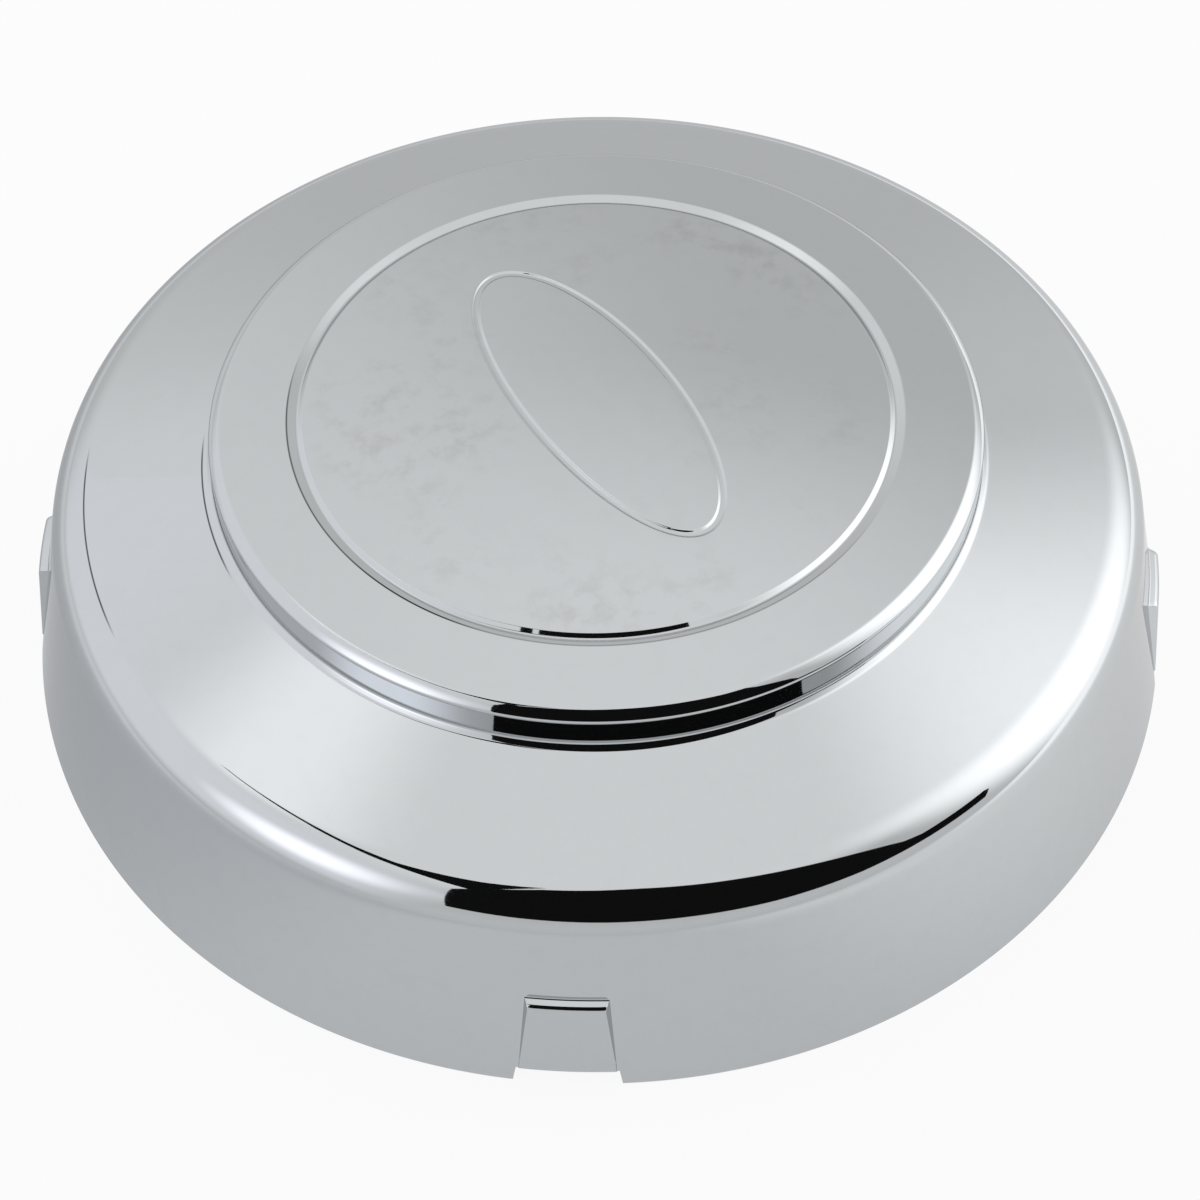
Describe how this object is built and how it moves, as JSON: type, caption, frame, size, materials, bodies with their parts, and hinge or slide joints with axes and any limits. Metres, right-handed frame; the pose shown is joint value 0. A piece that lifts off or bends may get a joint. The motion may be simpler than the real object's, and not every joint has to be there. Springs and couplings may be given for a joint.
{
  "type": "center cap",
  "caption": "Round chrome-plated wheel center cap: flared skirt, rounded shoulder, stepped boss with a ring groove and an oval groove, snap ridges above notches in the rim, open at the back.",
  "frame": {"origin": "centre of the rim's plane, on the cap's axis", "axes": "+Z along the cap's axis from the open rim to the crown; -Y through the front snap ridge; the oval's long axis is turned 56.2 degrees from +X towards -Y"},
  "size_m": [0.2098, 0.209, 0.0575],
  "materials": {
    "chrome_plating": "mirror-bright plating on a moulded plastic shell"
  },
  "bodies": {
    "root": {"center_cap": "chrome_plating"}
  },
  "joints": []
}
